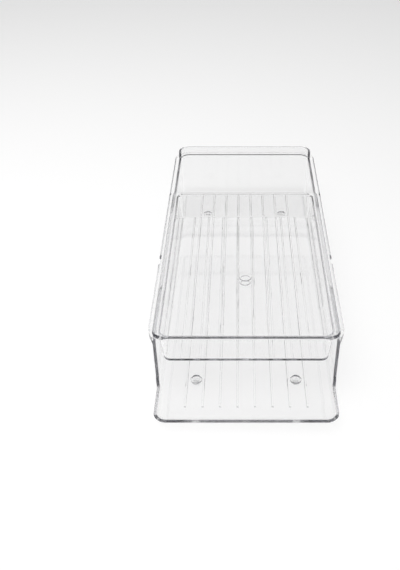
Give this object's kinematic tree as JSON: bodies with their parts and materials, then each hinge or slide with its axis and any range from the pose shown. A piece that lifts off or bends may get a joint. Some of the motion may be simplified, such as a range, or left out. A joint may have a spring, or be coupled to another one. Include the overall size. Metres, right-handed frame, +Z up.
{
  "type": "two-tier refrigerator organizer rack",
  "caption": "Clear two-tier organizer rack: a long open-fronted bin with ribbed floor and side slots, and a shorter tray that slides along its rails and lifts off.",
  "frame": {"origin": "centre of the footprint, level with the undersides of the bumper pads", "axes": "+X across the bin to the viewer's right, +Y from the open front to the raised back, +Z up"},
  "size_m": [0.152, 0.377, 0.0616],
  "materials": {
    "clear_bin": "polished, see-through",
    "clear_tray": "polished, see-through",
    "clear_pad": "soft gloss, see-through"
  },
  "bodies": {
    "bin": {"base_bin": "clear_bin", "bumper_pad_front_left": "clear_pad", "bumper_pad_front_right": "clear_pad", "bumper_pad_rear_left": "clear_pad", "bumper_pad_rear_right": "clear_pad"},
    "tray": {"sliding_tray": "clear_tray"}
  },
  "joints": [
    {"name": "tray_slide", "type": "slide", "parent": "bin", "child": "tray", "axis": [0, 1, 0], "range_m": [0, 0.083]}
  ]
}
